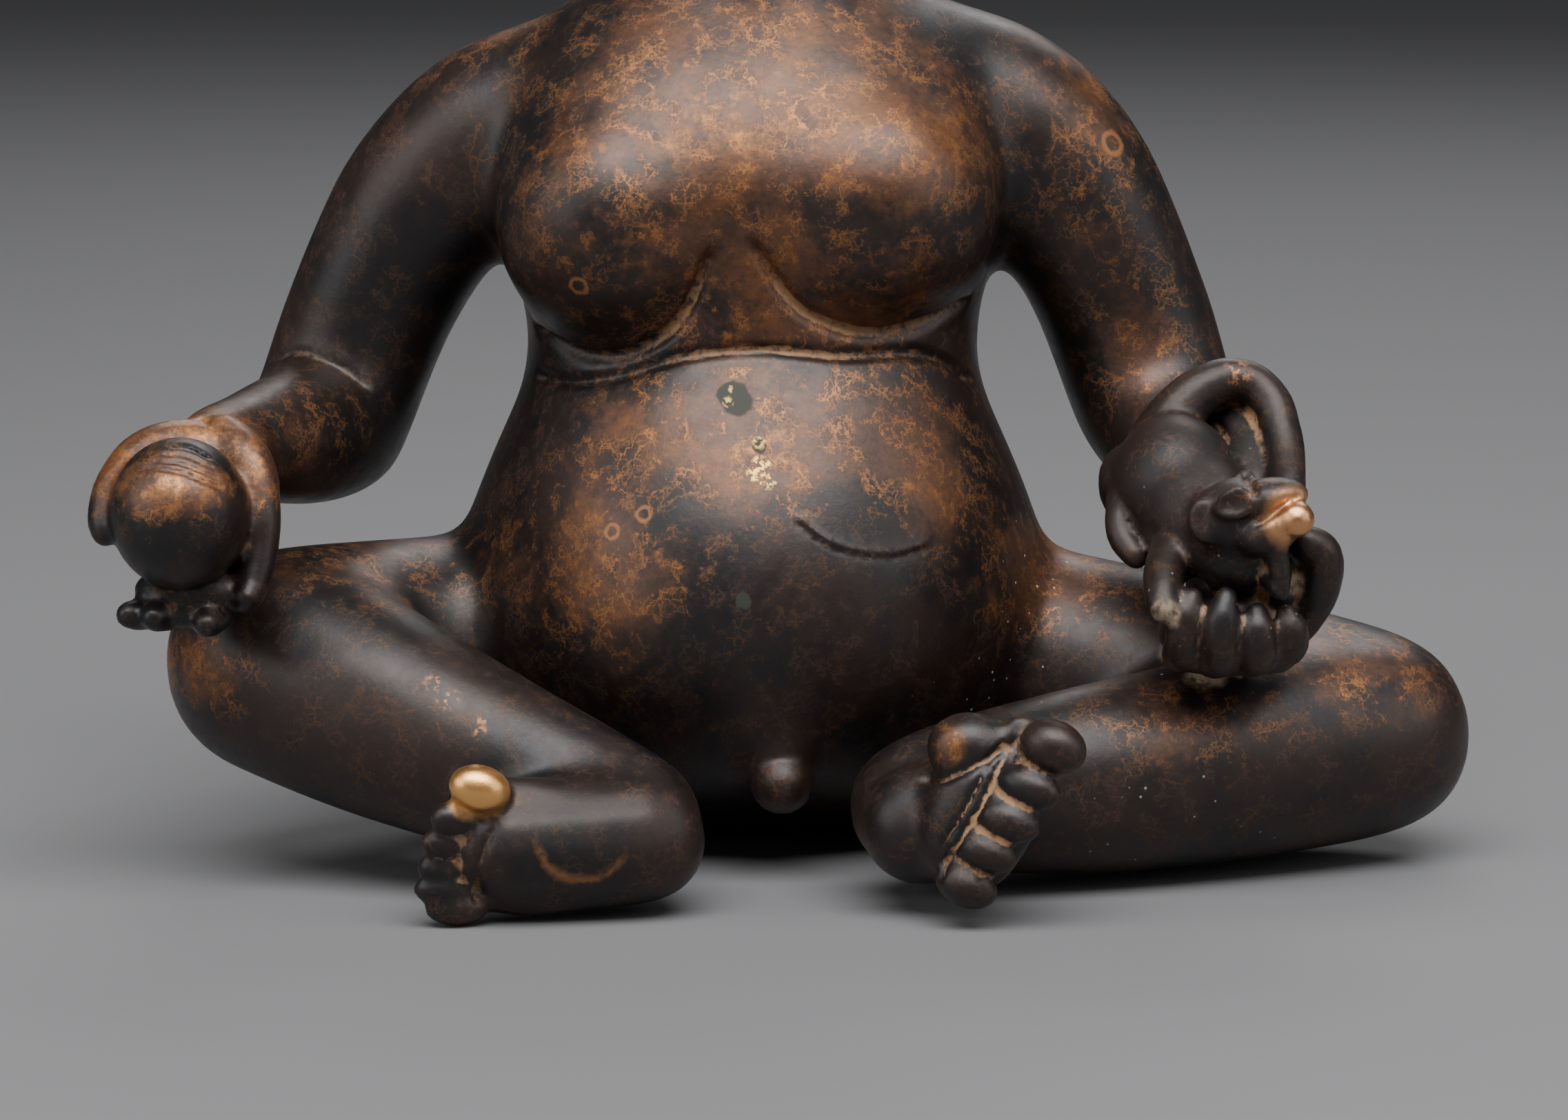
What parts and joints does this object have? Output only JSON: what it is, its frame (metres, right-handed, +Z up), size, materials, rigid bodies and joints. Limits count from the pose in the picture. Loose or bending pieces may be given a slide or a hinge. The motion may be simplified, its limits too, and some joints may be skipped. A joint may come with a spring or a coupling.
{
  "type": "jambhala statue",
  "caption": "Seated, pot-bellied deity statue with folded legs, a round fruit in the right hand and a mongoose in the left.",
  "frame": {"origin": "on the ground, under the middle of the seat", "axes": "+Z up along the back, -Y to the front the figure faces, +X towards the figure's left side"},
  "size_m": [0.174, 0.1024, 0.1724],
  "materials": {
    "bronze": "cast bronze with a near-black brown patina, rubbed to warm copper on the chest, belly and knees"
  },
  "bodies": {
    "root": {"jambhala_figure": "bronze"}
  },
  "joints": []
}
